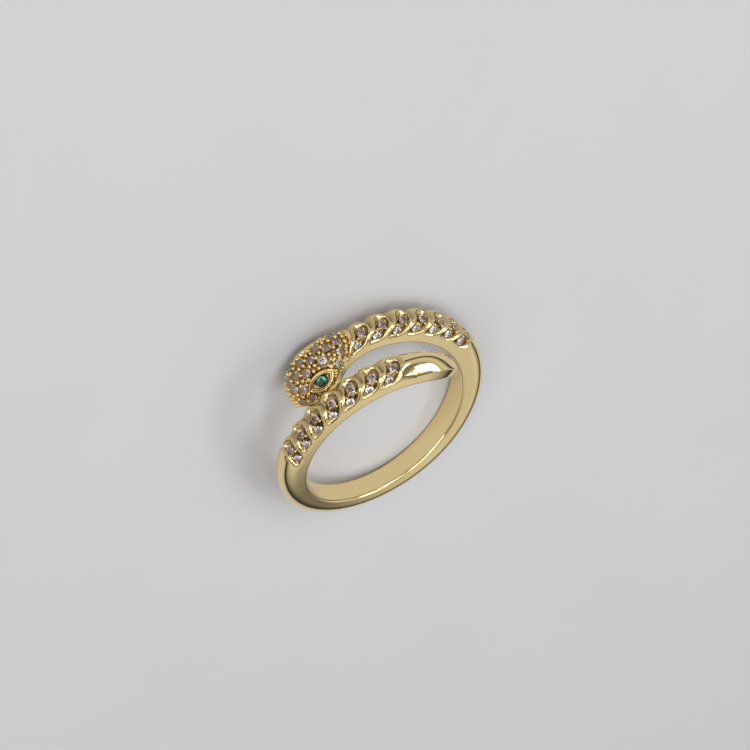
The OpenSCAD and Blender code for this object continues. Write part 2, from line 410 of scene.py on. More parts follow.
world = bpy.data.worlds.new("room")
world.use_nodes = True
room = world.node_tree
direction = room.nodes.new("ShaderNodeTexCoord").outputs["Generated"]
upward = add(room, "ShaderNodeSeparateXYZ", {"Vector": direction}).outputs["Z"]
ramp = add(room, "ShaderNodeValToRGB", {"Fac": upward})
while len(ramp.color_ramp.elements) < len(ROOM_TONES):
    ramp.color_ramp.elements.new(0.5)
for stop, (at, tone) in zip(ramp.color_ramp.elements, ROOM_TONES):
    stop.position = at
    stop.color = (tone * ROOM_WARM, tone, tone * ROOM_COOL, 1)
room.links.new(ramp.outputs["Color"], room.nodes["Background"].inputs["Color"])
room.nodes["Background"].inputs["Strength"].default_value = 1.0
bpy.context.scene.world = world
bpy.context.scene.view_settings.view_transform = "Standard"
print("room tones by height:", ROOM_TONES)

# %% [markdown]
# ## Gold
#
# Yellow gold of 14 carats is a pale, slightly greenish yellow on its polished tops. No brush reaches the
# floor of the pockets, so there it stays rougher, with the grain of the casting. There the gold is also
# painted darker and browner, which is painted shade for the deep places. An attribute called
# "recess" tells the material where that is. The polish is done by hand, so the mirror
# wobbles a little.

# %% Gold material
GOLD_PALE = (0.93, 0.745, 0.385, 1)
# GOLD_PAINTED_SHADE is painted shade: the dark brown gold that the pockets, the head and the eye rims get by
# depth.
GOLD_PAINTED_SHADE = (0.38, 0.28, 0.155, 1)
RECESS_ROUGHER, GRAIN_ON_TOPS = 0.22, 0.1
WOBBLE_SCALE, GRAIN_SCALE = 700.0, 9000.0
WOBBLE_STRENGTH, GRAIN_STRENGTH = 0.25, 0.5
POLISH_VARIES = (0.7, 1.4)


def gold_material(name, polish, grain_height):
    """Gold with that roughness on its tops."""
    material, tree, shader, coordinates = new_material(name, {"Metallic": 1.0})
    recess = add(tree, "ShaderNodeAttribute", attribute_name="recess").outputs["Fac"]
    # Painted shade: the deeper the place, the more of the dark brown gold is mixed in.
    colour = add(tree, "ShaderNodeMix", {"A": GOLD_PALE, "B": GOLD_PAINTED_SHADE, "Factor": recess}, data_type="RGBA")
    tree.links.new(colour.outputs["Result"], shader.inputs["Base Color"])
    wobble, marks = (add(tree, "ShaderNodeTexNoise", {
        "Vector": coordinates, "Scale": scale, "Detail": detail}).outputs["Fac"]
        for scale, detail in ((WOBBLE_SCALE, 3.0), (GRAIN_SCALE, 2.0)))
    least, most = (polish * share for share in POLISH_VARIES)
    haze = add(tree, "ShaderNodeMapRange", {"Value": wobble, "To Min": least, "To Max": most})
    rough = calc("MULTIPLY_ADD", tree, recess, RECESS_ROUGHER, haze.outputs[0])
    tree.links.new(rough, shader.inputs["Roughness"])
    depth = calc("MULTIPLY_ADD", tree, recess, 1 - GRAIN_ON_TOPS, GRAIN_ON_TOPS)
    fine = add(tree, "ShaderNodeBump", {
        "Height": times(tree, marks, depth), "Distance": grain_height, "Strength": GRAIN_STRENGTH})
    broad = add(tree, "ShaderNodeBump", {
        "Height": wobble, "Distance": grain_height, "Strength": WOBBLE_STRENGTH, "Normal": fine.outputs[0]})
    tree.links.new(broad.outputs[0], shader.inputs["Normal"])
    return material


gold = gold_material("polished_gold", 0.075, 0.00002)
bead_gold = gold_material("bead_gold", 0.1, 0.00001)
print("gold made:", gold.name, bead_gold.name)

# %% [markdown]
# ## Geometry Nodes, in a few helpers
#
# Ribs, stones and beads repeat by a rule, so Geometry Nodes make them. Each tree has named inputs for its
# sizes. `new_tree` opens one. `run_tree` sets the inputs on a modifier, takes the result as a plain mesh and
# removes the modifier again. `attribute` reads a value that the mesh carries at each point.

# %% Opening and ending a tree
SOCKET_KINDS = {int: "NodeSocketInt", float: "NodeSocketFloat"}


def new_tree(name, sizes):
    """A tree with a named input for each size. Gives the tree, its inputs by name, and its end."""
    tree = bpy.data.node_groups.new(name, "GeometryNodeTree")
    tree.interface.new_socket("Geometry", in_out="INPUT", socket_type="NodeSocketGeometry")
    tree.interface.new_socket("Geometry", in_out="OUTPUT", socket_type="NodeSocketGeometry")
    for label, value in sizes.items():
        tree.interface.new_socket(label, in_out="INPUT", socket_type=SOCKET_KINDS[type(value)])
    start, end = tree.nodes.new("NodeGroupInput"), tree.nodes.new("NodeGroupOutput")
    return tree, {s.name: s for s in start.outputs if s.name}, end


def finish_tree(tree, end, geometry, material):
    """Ends a tree in Realize Instances and Set Material."""
    real = add(tree, "GeometryNodeRealizeInstances", {"Geometry": geometry})
    painted = add(tree, "GeometryNodeSetMaterial", {"Geometry": real.outputs[0], "Material": material})
    tree.links.new(painted.outputs[0], end.inputs[0])


print("a tree's inputs can be", sorted(kind.__name__ for kind in SOCKET_KINDS))


# %% Running a tree, and reading and keeping values
def run_tree(obj, tree, sizes):
    """Gives the object the tree's result as a plain mesh."""
    modifier = obj.modifiers.new(tree.name, "NODES")
    modifier.node_group = tree
    for item in tree.interface.items_tree:
        if item.in_out == "INPUT" and item.name in sizes:
            modifier[item.identifier] = sizes[item.name]
    dependencies = bpy.context.evaluated_depsgraph_get()
    mesh = bpy.data.meshes.new_from_object(obj.evaluated_get(dependencies), depsgraph=dependencies)
    obj.modifiers.remove(modifier)
    obj.data = mesh
    mesh.name = obj.name
    print(obj.name, "has", len(mesh.polygons), "faces")
    return obj


def attribute(tree, name, kind="FLOAT"):
    return add(tree, "GeometryNodeInputNamedAttribute", {"Name": name}, data_type=kind).outputs["Attribute"]


def stored(tree, geometry, name, value, domain):
    """The geometry, with a value kept on it under that name."""
    return add(tree, "GeometryNodeStoreNamedAttribute", {"Geometry": geometry, "Name": name, "Value": value},
               data_type="FLOAT", domain=domain).outputs[0]


print("trees made so far:", len(bpy.data.node_groups))

# %% [markdown]
# ## The casting's smooth body
#
# The body is a loft. Each ring of points is one section of the snake: a rounded top, a plain side, and the
# inside that touches the finger. The rings lie close together where the ribs will be cut, and further apart
# on the plain shank. Towards the end of the tail, and of the snout, they shrink to a small rounded cap.

# %% One section of the loft
hole_round, round_share = 0.2, 0.45
wall_shares, bend_points, under_points = (0.12, 0.5, 0.88), 6, 7
tail_cap_from, tail_cap, tail_heart = -212.8, 3.6, 0.3
TOP = np.concatenate([np.linspace(-90, -80, 8), np.linspace(-77, 77, 45), np.linspace(80, 90, 8)])


def tail_close(a):
    """1 along the snake, 0 at the end of the tail's blunt tip."""
    return np.sqrt(np.clip(1 - (np.maximum(tail_cap_from - a, 0) / tail_cap) ** 2, 0, 1))


def section(a):
    """One ring of points at angle a, with the angle round the section and the way in for each."""
    a = np.array(float(a))
    n, e, q = float(nose(a)), float(along(a, ROUND)), float(np.radians(a))
    half = float(along(a, HALF)) * n
    side = float(along(a, SIDE)) * (nose_side + (1 - nose_side) * n)
    top = skin(np.full(len(TOP), float(a)), TOP)
    bend = np.radians(np.linspace(0, 90, bend_points))
    r = min(hole_round, half * round_share, side * round_share)
    wall = [(side + (r - side) * share, half) for share in wall_shares]
    wall += [(r - r * math.sin(b), half - r + r * math.cos(b)) for b in bend]
    under = [(0, (half - r) * s) for s in np.linspace(1, -1, under_points)[1:-1]]
    loop = wall + under + [(over, -across) for over, across in reversed(wall)]
    low = np.concatenate([place(a, over, across)[None] for over, across in loop])
    points = np.concatenate([top, low])
    radial, top_q = np.array([math.sin(q), -math.cos(q), 0]), np.radians(TOP)
    inward = (-(np.abs(np.cos(top_q)) ** e)[:, None] * radial
              - signed_power(np.sin(top_q), min(e, 1))[:, None] * [0, 0, 1])
    inward = np.concatenate([inward, np.zeros((len(low), 3))])
    near = len(wall) + 2
    rounds = np.concatenate([TOP, np.full(near, 90.0), np.full(len(low) - near, -90.0)])
    heart = place(a, tail_heart, 0.0)
    return heart + (points - heart) * float(tail_close(a)), rounds, inward


print("one section has", len(section(0.0)[0]), "points")

# %% All sections of the loft
rib_step, tail_step, shank_step, head_step = 0.22, 0.6, 1.8, 0.5
last_turn, tail_turns, nose_turns = 87, 12, 34


def steps(start, end, step):
    count = max(int(round((end - start) / step)), 1)
    return np.linspace(start, end, count, endpoint=False)


ribs_long = pockets * pocket_pitch
tail_root = tail_first - (pockets - 0.5) * pocket_pitch
neck_root = neck_first - (pockets - 0.5) * pocket_pitch
stations = np.concatenate([
    tail_cap_from - tail_cap * np.sin(np.radians(np.linspace(last_turn, 0, tail_turns, endpoint=False))),
    steps(tail_cap_from, tail_root, tail_step),
    steps(tail_root, tail_root + ribs_long, rib_step),
    steps(tail_root + ribs_long, neck_root, shank_step),
    steps(neck_root, neck_root + ribs_long, rib_step),
    steps(neck_root + ribs_long, cheek, head_step),
    cheek + nose_reach * np.sin(np.radians(np.linspace(0, last_turn, nose_turns)))])
sections = [section(a) for a in stations]
around = len(sections[0][0])
print(len(stations), "sections of", around, "points")

# %% [markdown]
# ## Joining the sections
#
# `loft` joins each ring of points to the next with four-sided faces and closes both ends with a fan, so the
# skin is watertight. `carry` keeps values on its points for the cut that follows: the two angles, how near
# the snout or the tail is to closing, and the way straight into the metal.

# %% Loft the body
def carry(mesh, key, values):
    """Keeps a number or a vector for each point on the mesh."""
    values = np.ascontiguousarray(values, np.float32)
    kind, field = ("FLOAT_VECTOR", "vector") if values.ndim == 2 else ("FLOAT", "value")
    mesh.attributes.new(key, kind, "POINT").data.foreach_set(field, values.ravel())


def loft(name, rings, carried):
    """A closed skin over rings of points, capped at both ends, with the values that its points carry."""
    count, around = len(rings), len(rings[0])
    points = np.concatenate(rings + [rings[0].mean(0)[None], rings[-1].mean(0)[None]])
    i, j = np.meshgrid(np.arange(count - 1), np.arange(around), indexing="ij")
    p, q = i * around + j, i * around + (j + 1) % around
    quads = np.stack([p, q, q + around, p + around], -1).reshape(-1, 4)
    first, last, end_row = count * around, count * around + 1, (count - 1) * around
    edge = [(k, (k + 1) % around) for k in range(around)]
    caps = [(first, b, a) for a, b in edge] + [(last, end_row + a, end_row + b) for a, b in edge]
    mesh = new_mesh(name, points.tolist(), quads.tolist() + caps)
    for key, values in carried.items():
        carry(mesh, key, np.concatenate(values + [values[0][:1] * 0] * 2))
    mesh.shade_smooth()
    return mesh


body_mesh = loft("band", [at_rest(points) for points, _, _ in sections], {
    "angle": [np.full(around, a) for a in stations],
    "round": [rounds for _, rounds, _ in sections],
    "closing": [np.full(around, float(nose(a) * tail_close(a))) for a in stations],
    "way_in": [turned(inward) for _, _, inward in sections]})
band = shown_object("band_cast", body_mesh, gold)
print("smooth body:", len(body_mesh.polygons), "faces")

# %% [markdown]
# ## Cutting the ribs
#
# A jeweller would carve the ribs in wax, one by one, all alike. Here one rule does it: it says how far a
# point lies from the middle of its pocket, and the point is then pushed straight into the metal. Each pocket
# is a slot with round ends, and its walls follow a curve from the rib's top down to the pocket's floor. Low
# on the flank the ribs are narrow legs. Near the crest the walls are fuller and close round the slot as a
# hood.

# %% Sizes of the cut
CUTS = {
    "Pocket pitch": pocket_pitch, "Pockets": float(pockets), "Pocket depth": pocket_depth,
    "Neck start": neck_first - (pockets - 1) * pocket_pitch,
    "Tail start": tail_first - (pockets - 1) * pocket_pitch,
    "Near end": 8.0, "Far end": 84.0, "Rail end": 74.0, "Degrees wide": 42.0, "Valley share": 0.85,
    "Pave depth": pave_depth, "Pave from": pave_from, "Pave full": pave_full}
LEG_PROFILE = [
    (0.0, 0.0), (0.12, 0.01), (0.22, 0.05), (0.32, 0.13), (0.40, 0.27), (0.46, 0.48), (0.52, 0.76),
    (0.58, 0.96), (0.64, 1.0), (1.0, 1.0)]
HOOD_PROFILE = [
    (0.0, 0.0), (0.10, 0.0), (0.20, 0.04), (0.28, 0.15), (0.34, 0.34), (0.39, 0.54), (0.44, 0.78),
    (0.50, 0.95), (0.56, 1.0), (1.0, 1.0)]
print("a pocket is", round(math.radians(pocket_pitch) * (finger_r + arm_h), 2), "mm long at the crest")


# %% Fades and curves
def smooth_step(tree, value, low, high, from_value=0.0, to_value=1.0):
    return add(tree, "ShaderNodeMapRange", {
        "Value": value, "From Min": low, "From Max": high, "To Min": from_value, "To Max": to_value},
        interpolation_type="SMOOTHSTEP").outputs[0]


def fade(tree, value, low, high):
    return smooth_step(tree, value, low, high, 1.0, 0.0)


def profile_curve(tree, value, points):
    """A Float Curve node through a few points."""
    node = add(tree, "ShaderNodeFloatCurve", {"Value": value})
    curve = node.mapping.curves[0]
    while len(curve.points) < len(points):
        curve.points.new(0.5, 0.5)
    for spot, place_on_curve in zip(curve.points, points):
        spot.location = place_on_curve
    node.mapping.update()
    return node.outputs[0]


print("points on the two curves:", len(LEG_PROFILE), "and", len(HOOD_PROFILE))

# %% One slot and its walls
SLOT_TAPERS, NARROWEST = (35.0, 75.0), 0.86
HOODS_END = (18.0, 42.0)


def slot_distance(tree, off_middle, turned_by, from_end, sizes):
    """How far from the middle line of a slot with two round ends a point lies: 1 is half a pitch."""
    before = larger(tree, minus(tree, from_end, turned_by), 0.0)
    after = larger(tree, minus(tree, turned_by, sizes["Rail end"]), 0.0)
    past_end = calc("DIVIDE", tree, plus(tree, before, after), sizes["Degrees wide"])
    beside = calc("POWER", tree, off_middle, 2.0)
    return calc("SQRT", tree, calc("MULTIPLY_ADD", tree, past_end, past_end, beside))


def slot_cut(tree, off_middle, turned_by, from_end, sizes):
    """The cut of one slot with its hood and legs, as a share of the pocket's depth."""
    away = slot_distance(tree, off_middle, turned_by, from_end, sizes)
    taper = smooth_step(tree, turned_by, *SLOT_TAPERS, 1.0, NARROWEST)
    within = larger(tree, minus(tree, 1.0, times(tree, away, taper)), 0.0)
    leg, hood = profile_curve(tree, within, LEG_PROFILE), profile_curve(tree, within, HOOD_PROFILE)
    low_down = smooth_step(tree, turned_by, *HOODS_END)
    return plus(tree, times(tree, hood, minus(tree, 1.0, low_down)), times(tree, leg, low_down))


print("a slot is cut from", CUTS["Near end"], "to", CUTS["Rail end"], "degrees round the section")

# %% [markdown]
# ## All pockets of one arm
#
# The angle along the snake is divided by the pitch, and the fraction that is left says where in its pocket a
# point is. So one slot becomes seven, and a change of pitch moves them all. The near side has the long slots
# that the photograph shows, and the far side a short notch at the rail. On the crest a valley parts each hood
# from the next, and fades out where the plain metal begins.

# %% The pockets of one arm
VALLEY_ENDS, FAR_VALLEY_ENDS = (10.0, 40.0), (62.0, 78.0)
ROW_ENDS = (-0.02, 0.12)


def pocket_share(tree, sizes, start):
    """0 on the ribs of one arm and on the plain metal, 1 on the floor of its pockets."""
    angle, turned_by = attribute(tree, "angle"), attribute(tree, "round")
    far_turned = times(tree, turned_by, -1.0)
    in_pockets = calc("DIVIDE", tree, minus(tree, angle, start), sizes["Pocket pitch"])
    counted = plus(tree, in_pockets, 0.5)
    inside = times(tree, calc("GREATER_THAN", tree, counted, 0.0),
                   calc("LESS_THAN", tree, counted, sizes["Pockets"]))
    from_middle = calc("ABSOLUTE", tree, minus(tree, calc("FRACT", tree, counted), 0.5))
    off_middle = times(tree, from_middle, 2.0)
    near = slot_cut(tree, off_middle, turned_by, sizes["Near end"], sizes)
    far = slot_cut(tree, off_middle, far_turned, sizes["Far end"], sizes)
    on_crest = times(tree, fade(tree, turned_by, *VALLEY_ENDS), fade(tree, far_turned, *FAR_VALLEY_ENDS))
    left = minus(tree, sizes["Pockets"], counted)
    row_end = times(tree, *(smooth_step(tree, count, *ROW_ENDS) for count in (counted, left)))
    crease = times(tree, calc("POWER", tree, off_middle, 2.0), times(tree, on_crest, row_end))
    valley = times(tree, crease, sizes["Valley share"])
    return times(tree, inside, larger(tree, larger(tree, near, far), valley))


print("pockets on each arm:", pockets)

# %% [markdown]
# ## The cut itself
#
# The tree adds up the two arms and the head, which is cut down all over for its stones. The cut fades out
# towards the rail, so the rail stays whole. Its full depth is also kept as the "recess"
# attribute, which paints shade on the gold there and makes it rougher. That painted shade keeps its
# strength on the strip above the rail, where the cut is already shallow, and ends only at the rail.

# %% The rib tree
CUT_ENDS, SHADE_AND_ROUGH_ENDS = (68.0, 91.0), (80.0, 90.0)

cut_tree, sizes, end = new_tree("cut_ribs", CUTS)
neck_share = pocket_share(cut_tree, sizes, sizes["Neck start"])
tail_share = pocket_share(cut_tree, sizes, sizes["Tail start"])
on_head = smooth_step(cut_tree, attribute(cut_tree, "angle"), sizes["Pave from"], sizes["Pave full"])
pave_share = times(cut_tree, attribute(cut_tree, "closing"), on_head)
ribs_depth = times(cut_tree, plus(cut_tree, neck_share, tail_share), sizes["Pocket depth"])
full_depth = plus(cut_tree, ribs_depth, times(cut_tree, pave_share, sizes["Pave depth"]))
from_crest = calc("ABSOLUTE", cut_tree, attribute(cut_tree, "round"))
depth = times(cut_tree, full_depth, fade(cut_tree, from_crest, *CUT_ENDS))
way_in = attribute(cut_tree, "way_in", "FLOAT_VECTOR")
push = add(cut_tree, "ShaderNodeVectorMath", {
    0: way_in, "Scale": times(cut_tree, depth, MM)}, operation="SCALE")
moved = add(cut_tree, "GeometryNodeSetPosition", {"Geometry": sizes["Geometry"], "Offset": push.outputs[0]})
depth_share = calc("DIVIDE", cut_tree, full_depth, sizes["Pocket depth"])
# Painted shade and roughness follow the full depth, before the cut's fade, and end between 80 and 90 degrees.
recess = calc("MINIMUM", cut_tree, depth_share, fade(cut_tree, from_crest, *SHADE_AND_ROUGH_ENDS))
finish_tree(cut_tree, end, stored(cut_tree, moved.outputs[0], "recess", recess, "POINT"), gold)
run_tree(band, cut_tree, CUTS)

# %% [markdown]
# ## The stones
#
# Small stones of this kind are round brilliants: a flat table on top, eight kite facets with small triangles
# between them, a thin girdle, and a deep cone of facets below that throws the light back up. The facets are
# flat, so the mesh is not smoothed. One stone is built by formula, at a width of 1, and then set many times.

# %% One brilliant
table_r, star_r, girdle_r, deep_r = 0.28, 0.405, 0.5, 0.12
crown, girdle, pavilion, deep_share = 0.145, 0.015, 0.36, 0.78


def circle(r, z, count, turn=0.0):
    """Points round a circle at height z, turned by that share of a step."""
    spots = [math.tau * (k + turn) / count for k in range(count)]
    return [(r * math.cos(t), r * math.sin(t), z) for t in spots]


def brilliant_mesh(name):
    """A round brilliant of width 1 with its girdle at the origin, table up."""
    points = circle(table_r, crown, 8) + circle(star_r, crown * 0.5 + girdle * 0.5, 8, 0.5)
    points += circle(girdle_r, girdle, 16) + circle(girdle_r, -girdle, 16)
    points += circle(deep_r, -pavilion * deep_share, 8, 0.5) + [(0, 0, -pavilion)]
    T, S, H, L, D, C = 0, 8, 16, 32, 48, 56
    faces = [tuple(range(8))]
    for i in range(8):
        j, g = (i + 1) % 8, 2 * i
        faces += [(T + i, S + i, T + j), (T + i, S + (i - 1) % 8, H + g, S + i)]
        faces += [(S + i, H + g, H + g + 1), (S + i, H + g + 1, H + (g + 2) % 16)]
        faces += [(L + g + 1, L + g, D + i), (L + (g + 2) % 16, L + g + 1, D + i)]
        faces += [(L + g, D + (i - 1) % 8, C, D + i)]
    faces += [(H + k, L + k, L + (k + 1) % 16, H + (k + 1) % 16) for k in range(16)]
    return new_mesh(name, points, faces)


brilliant = bpy.data.objects.new("one_brilliant", brilliant_mesh("one_brilliant"))
print("one brilliant:", len(brilliant.data.polygons), "facets")

# %% [markdown]
# ## Stone materials
#
# Most stones are clear with a breath of pink. Those on the head are smoky champagne, and the eyes are deep
# green. Each is a glass with a high refractive index, so that the facets flash. No two small stones are quite
# alike, so each carries a number of its own that shifts its tint.

# %% Stone materials
CLOUD_SCALE, CLOUD = 2500.0, 0.3
STONE_FINISH = {"Transmission Weight": 0.88, "Roughness": 0.02}
STONE_LOOKS = {
    "clear_stone": ((1.0, 0.97, 0.95, 1), (0.64, 0.41, 0.31, 1), 2.3),
    "champagne_stone": ((1.0, 0.95, 0.92, 1), (0.50, 0.30, 0.21, 1), 2.1),
    "green_stone": ((0.04, 0.33, 0.24, 1), (0.01, 0.16, 0.11, 1), 1.9)}


def stone_material(name, light_tint, dark_tint, index):
    material, tree, shader, coordinates = new_material(name, STONE_FINISH | {"IOR": index})
    own = add(tree, "ShaderNodeAttribute", attribute_name="stone_tint").outputs["Fac"]
    cloud = add(tree, "ShaderNodeTexNoise", {"Vector": coordinates, "Scale": CLOUD_SCALE, "Detail": 2.0})
    share = calc("MULTIPLY_ADD", tree, cloud.outputs["Fac"], CLOUD, minus(tree, own, CLOUD / 2))
    tint = add(tree, "ShaderNodeMix", {"Factor": share, "A": light_tint, "B": dark_tint}, data_type="RGBA")
    tree.links.new(tint.outputs["Result"], shader.inputs["Base Color"])
    return material


stone_materials = {name: stone_material(name, *look) for name, look in STONE_LOOKS.items()}
print("stone materials:", sorted(stone_materials))

# %% [markdown]
# ## Places of the stones
#
# A stone's place is two angles on the skin, and it sits just deep enough for its point to clear the metal
# below it. Each pocket has two stones on the near side and one on the far side. On the head they stand in
# rows from the neck to the snout. The places go into a mesh of loose points that carry the way out of the
# metal and the way along the snake.

# %% Places of the stones
arm_stone_d, head_stone_d, eye_stone_d = 0.8, 0.8, 1.0
seat_gap, eye_stone_lift = 0.07, 0.04
ARM_ROUNDS = (-71.0, 22.0, 71.0)
HEAD_ROWS = [
    # angle along the snake, stones in the row, degrees between them, middle of the row
    (209.5, 3, 31.0, 0.0), (211.0, 1, 0.0, 56.0), (213.5, 1, 0.0, 0.0), (216.5, 2, 34.0, 0.0),
    (219.7, 1, 0.0, 0.0), (223.2, 2, 29.0, 0.0), (227.3, 1, 0.0, 0.0), (228.8, 2, 70.0, 0.0),
    (229.0, 2, 146.0, 0.0), (232.4, 2, 25.0, 0.0), (234.2, 2, 128.0, 0.0)]


def fade_at_rail(v):
    return 1 - ease(np.abs(v), rail_from, 90)


def stone_places(pairs, width, cut):
    """Where stones of that width sit, over metal that is cut away by cut."""
    angles, rounds = np.array(pairs, float).T
    point, out, way = skin_frame(angles, rounds)
    lift = width * pavilion + seat_gap - cut(angles, rounds)
    return point + lift[:, None] * out, out, way


def arm_places(first):
    pairs = [(first - i * pocket_pitch, v) for i in range(pockets) for v in ARM_ROUNDS]
    return stone_places(pairs, arm_stone_d, lambda a, v: pocket_depth * fade_at_rail(v))


def head_places():
    pairs = [(a, middle + apart * (i - (count - 1) / 2))
             for a, count, apart, middle in HEAD_ROWS for i in range(count)]
    return stone_places(pairs, head_stone_d,
                        lambda a, v: pave_depth * nose(a) * ease(a, pave_from, pave_full) * fade_at_rail(v))


def eye_places(side):
    point, out, way = skin_frame(np.array([eye_at]), np.array([side * eye_round]))
    return point + eye_stone_lift * out, out, way


print("stones on the head:", len(head_places()[0]), "and on each arm:", len(arm_places(neck_first)[0]))


# %% A mesh of loose points
def points_object(name, places, widths, tints=0.5):
    """Loose points on the table's frame that carry two ways, a width and a tint."""
    point, out, way = places
    mesh = new_mesh(name, at_rest(point).tolist())
    carry(mesh, "way_out", turned(out))
    carry(mesh, "way_along", turned(way))
    carry(mesh, "width", np.broadcast_to(np.asarray(widths, float) * MM, len(point)))
    carry(mesh, "tint", np.broadcast_to(tints, len(point)))
    return shown_object(name, mesh)


print("each point carries: way_out, way_along, width, tint")

# %% [markdown]
# ## One tree for stones and beads
#
# The tree puts one copy on each point, turned to the point's two ways and scaled to its width. Real settings
# are never quite even, so each copy also gets a small tilt, turn and size of its own, from random numbers
# with a fixed seed.

# %% Sizes and random values
EVEN = {"Tilt": 0.0, "Spin": 0.0, "Uneven": 0.0, "Tint spread": 0.0, "Seed": 1}


def random_value(tree, kind, least, most, seed):
    """A Random Value node, whose sockets for vectors come before those for numbers."""
    first, result = (0, 0) if kind == "FLOAT_VECTOR" else (2, 1)
    return add(tree, "FunctionNodeRandomValue", {first: least, first + 1: most, "Seed": seed},
               data_type=kind).outputs[result]


def vector(tree, **values):
    return add(tree, "ShaderNodeCombineXYZ", values).outputs[0]


print("the setting tree's sizes:", list(EVEN))

# %% The setting tree
TINT_SEED_STEP = 7.0


def setting_tree(name, thing, material, smooth):
    """A tree that sets one copy of a thing on each point, by the point's two ways and its width."""
    tree, sizes, end = new_tree(name, EVEN)
    facing = add(tree, "FunctionNodeAxesToRotation", {
        "Primary Axis": attribute(tree, "way_out", "FLOAT_VECTOR"),
        "Secondary Axis": attribute(tree, "way_along", "FLOAT_VECTOR")}, primary_axis="Z", secondary_axis="X")
    tilt, seed = sizes["Tilt"], sizes["Seed"]
    other_tilt = times(tree, tilt, -1.0)
    own = random_value(tree, "FLOAT_VECTOR", vector(tree, X=other_tilt, Y=other_tilt),
                       vector(tree, X=tilt, Y=tilt, Z=sizes["Spin"]), seed)
    own_turn = add(tree, "FunctionNodeEulerToRotation", {"Euler": own})
    rotation = add(tree, "FunctionNodeRotateRotation", {
        "Rotation": facing.outputs[0], "Rotate By": own_turn.outputs[0]}, rotation_space="LOCAL")
    vary = random_value(tree, "FLOAT", minus(tree, 1.0, sizes["Uneven"]), 1.0, seed)
    width = times(tree, attribute(tree, "width"), vary)
    source = add(tree, "GeometryNodeObjectInfo", {"Object": thing, "As Instance": True})
    placed = add(tree, "GeometryNodeInstanceOnPoints", {
        "Points": sizes["Geometry"], "Instance": source.outputs["Geometry"], "Rotation": rotation.outputs[0],
        "Scale": vector(tree, X=width, Y=width, Z=width)})
    any_tint = random_value(tree, "FLOAT", 0.0, 1.0, plus(tree, seed, TINT_SEED_STEP))
    spread = times(tree, minus(tree, any_tint, 0.5), sizes["Tint spread"])
    own_tint = plus(tree, attribute(tree, "tint"), spread)
    marked = stored(tree, placed.outputs[0], "stone_tint", own_tint, "INSTANCE")
    shaded = add(tree, "GeometryNodeSetShadeSmooth", {"Geometry": marked, "Shade Smooth": smooth})
    finish_tree(tree, end, shaded.outputs[0], material)
    return tree


print("the tree marks each copy with its own stone_tint")

# %% [markdown]
# ## Setting the stones
#
# Each field of stones is one piece, and each eye stone is one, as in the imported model. The lower stone of a
# pocket is the clearest, and two stones on the head are clear among the smoky ones.

# %% Set the stones
STONE_PLAY = EVEN | {"Tilt": math.radians(3.5), "Spin": math.tau, "Tint spread": 0.5, "Seed": 3}
NECK_TINTS, TAIL_TINTS = np.tile((0.5, 0.85, 0.0), pockets), np.tile((0.5, 0.75, 0.4), pockets)
CLEAR_ON_HEAD, CLEAR_TINT, SMOKY_TINT, EYE_TINT = [3, 6], 0.05, 0.7, 0.5
HEAD_TINTS = np.full(len(head_places()[0]), SMOKY_TINT)
HEAD_TINTS[CLEAR_ON_HEAD] = CLEAR_TINT
STONES = [
    ("neck_stones", arm_places(neck_first), arm_stone_d, NECK_TINTS, "clear_stone"),
    ("tail_stones", arm_places(tail_first), arm_stone_d, TAIL_TINTS, "clear_stone"),
    ("head_stones", head_places(), head_stone_d, HEAD_TINTS, "champagne_stone"),
    ("eye_stone_left", eye_places(1), eye_stone_d, EYE_TINT, "green_stone"),
    ("eye_stone_right", eye_places(-1), eye_stone_d, EYE_TINT, "green_stone")]
stone_pieces = []
for node, places, width, tints, slot in STONES:
    tree = setting_tree("set_" + node, brilliant, stone_materials[slot], False)
    piece = run_tree(points_object(node + "_cut", places, width, tints), tree, STONE_PLAY)
    stone_pieces.append((piece, node, slot))

# %% [markdown]
# ## Beads that hold the stones
#
# The setter raises small grains of metal beside each stone, pushes them over its edge and rounds them to
# beads. A bead here is a dome on a short stem that goes down into the metal. A profile is turned round an
# axis, with few faces, because the bead is set so many times.

# %% One bead
BEAD_SIDES, STEM_R, STEM_FOOT = 12, 0.52, -1.6
DOME = [(0.5 * math.cos(t), 0.5 * math.sin(t)) for t in np.radians([80, 60, 40, 20, 0])]


def turned_shape(name, profile, sides):
    """A shape turned round the Z axis from points (radius, height), closed at its first and last point."""
    points = [point for r, z in profile for point in circle(r, z, sides)]
    around = [(k, (k + 1) % sides) for k in range(sides)]
    faces = [(row + a, row + sides + a, row + sides + b, row + b)
             for row in range(0, (len(profile) - 1) * sides, sides) for a, b in around]
    last = (len(profile) - 1) * sides
    faces += [tuple(range(sides)), tuple(last + k for k in reversed(range(sides)))]
    return bpy.data.objects.new(name, new_mesh(name, points, faces))


bead = turned_shape("one_bead", DOME + [(STEM_R, -0.5), (STEM_R, STEM_FOOT)], BEAD_SIDES)
print("one bead:", len(bead.data.polygons), "faces")

# %% [markdown]
# ## Places of the beads
#
# In a pocket the beads stand in pairs: at its top end, between its two stones and at the rail, and above and
# below the far stone. On the head they fill the places that the stones leave free. The rule goes through a
# fine grid of places, the roomiest first, and keeps each that lies off the stones and eyes and not too near a
# bead that is there already.

# %% Places in the pockets
BEAD, SMALL_BEAD, TINY_BEAD = 0.26, 0.2, 0.14
BEAD_ROWS = [
    # angle round the section, degrees to either side of the pocket's middle, width
    (9.0, 1.4, SMALL_BEAD), (46.0, 2.3, BEAD), (86.0, 1.1, TINY_BEAD), (-56.0, 1.8, SMALL_BEAD),
    (-86.0, 1.1, TINY_BEAD)]


def pocket_beads(first):
    """The angles and the width of each bead in one arm's pockets."""
    return np.array([(first - i * pocket_pitch + s * apart, v, w)
                     for i in range(pockets) for v, apart, w in BEAD_ROWS for s in (-1, 1)])


print("beads in one pocket:", 2 * len(BEAD_ROWS))

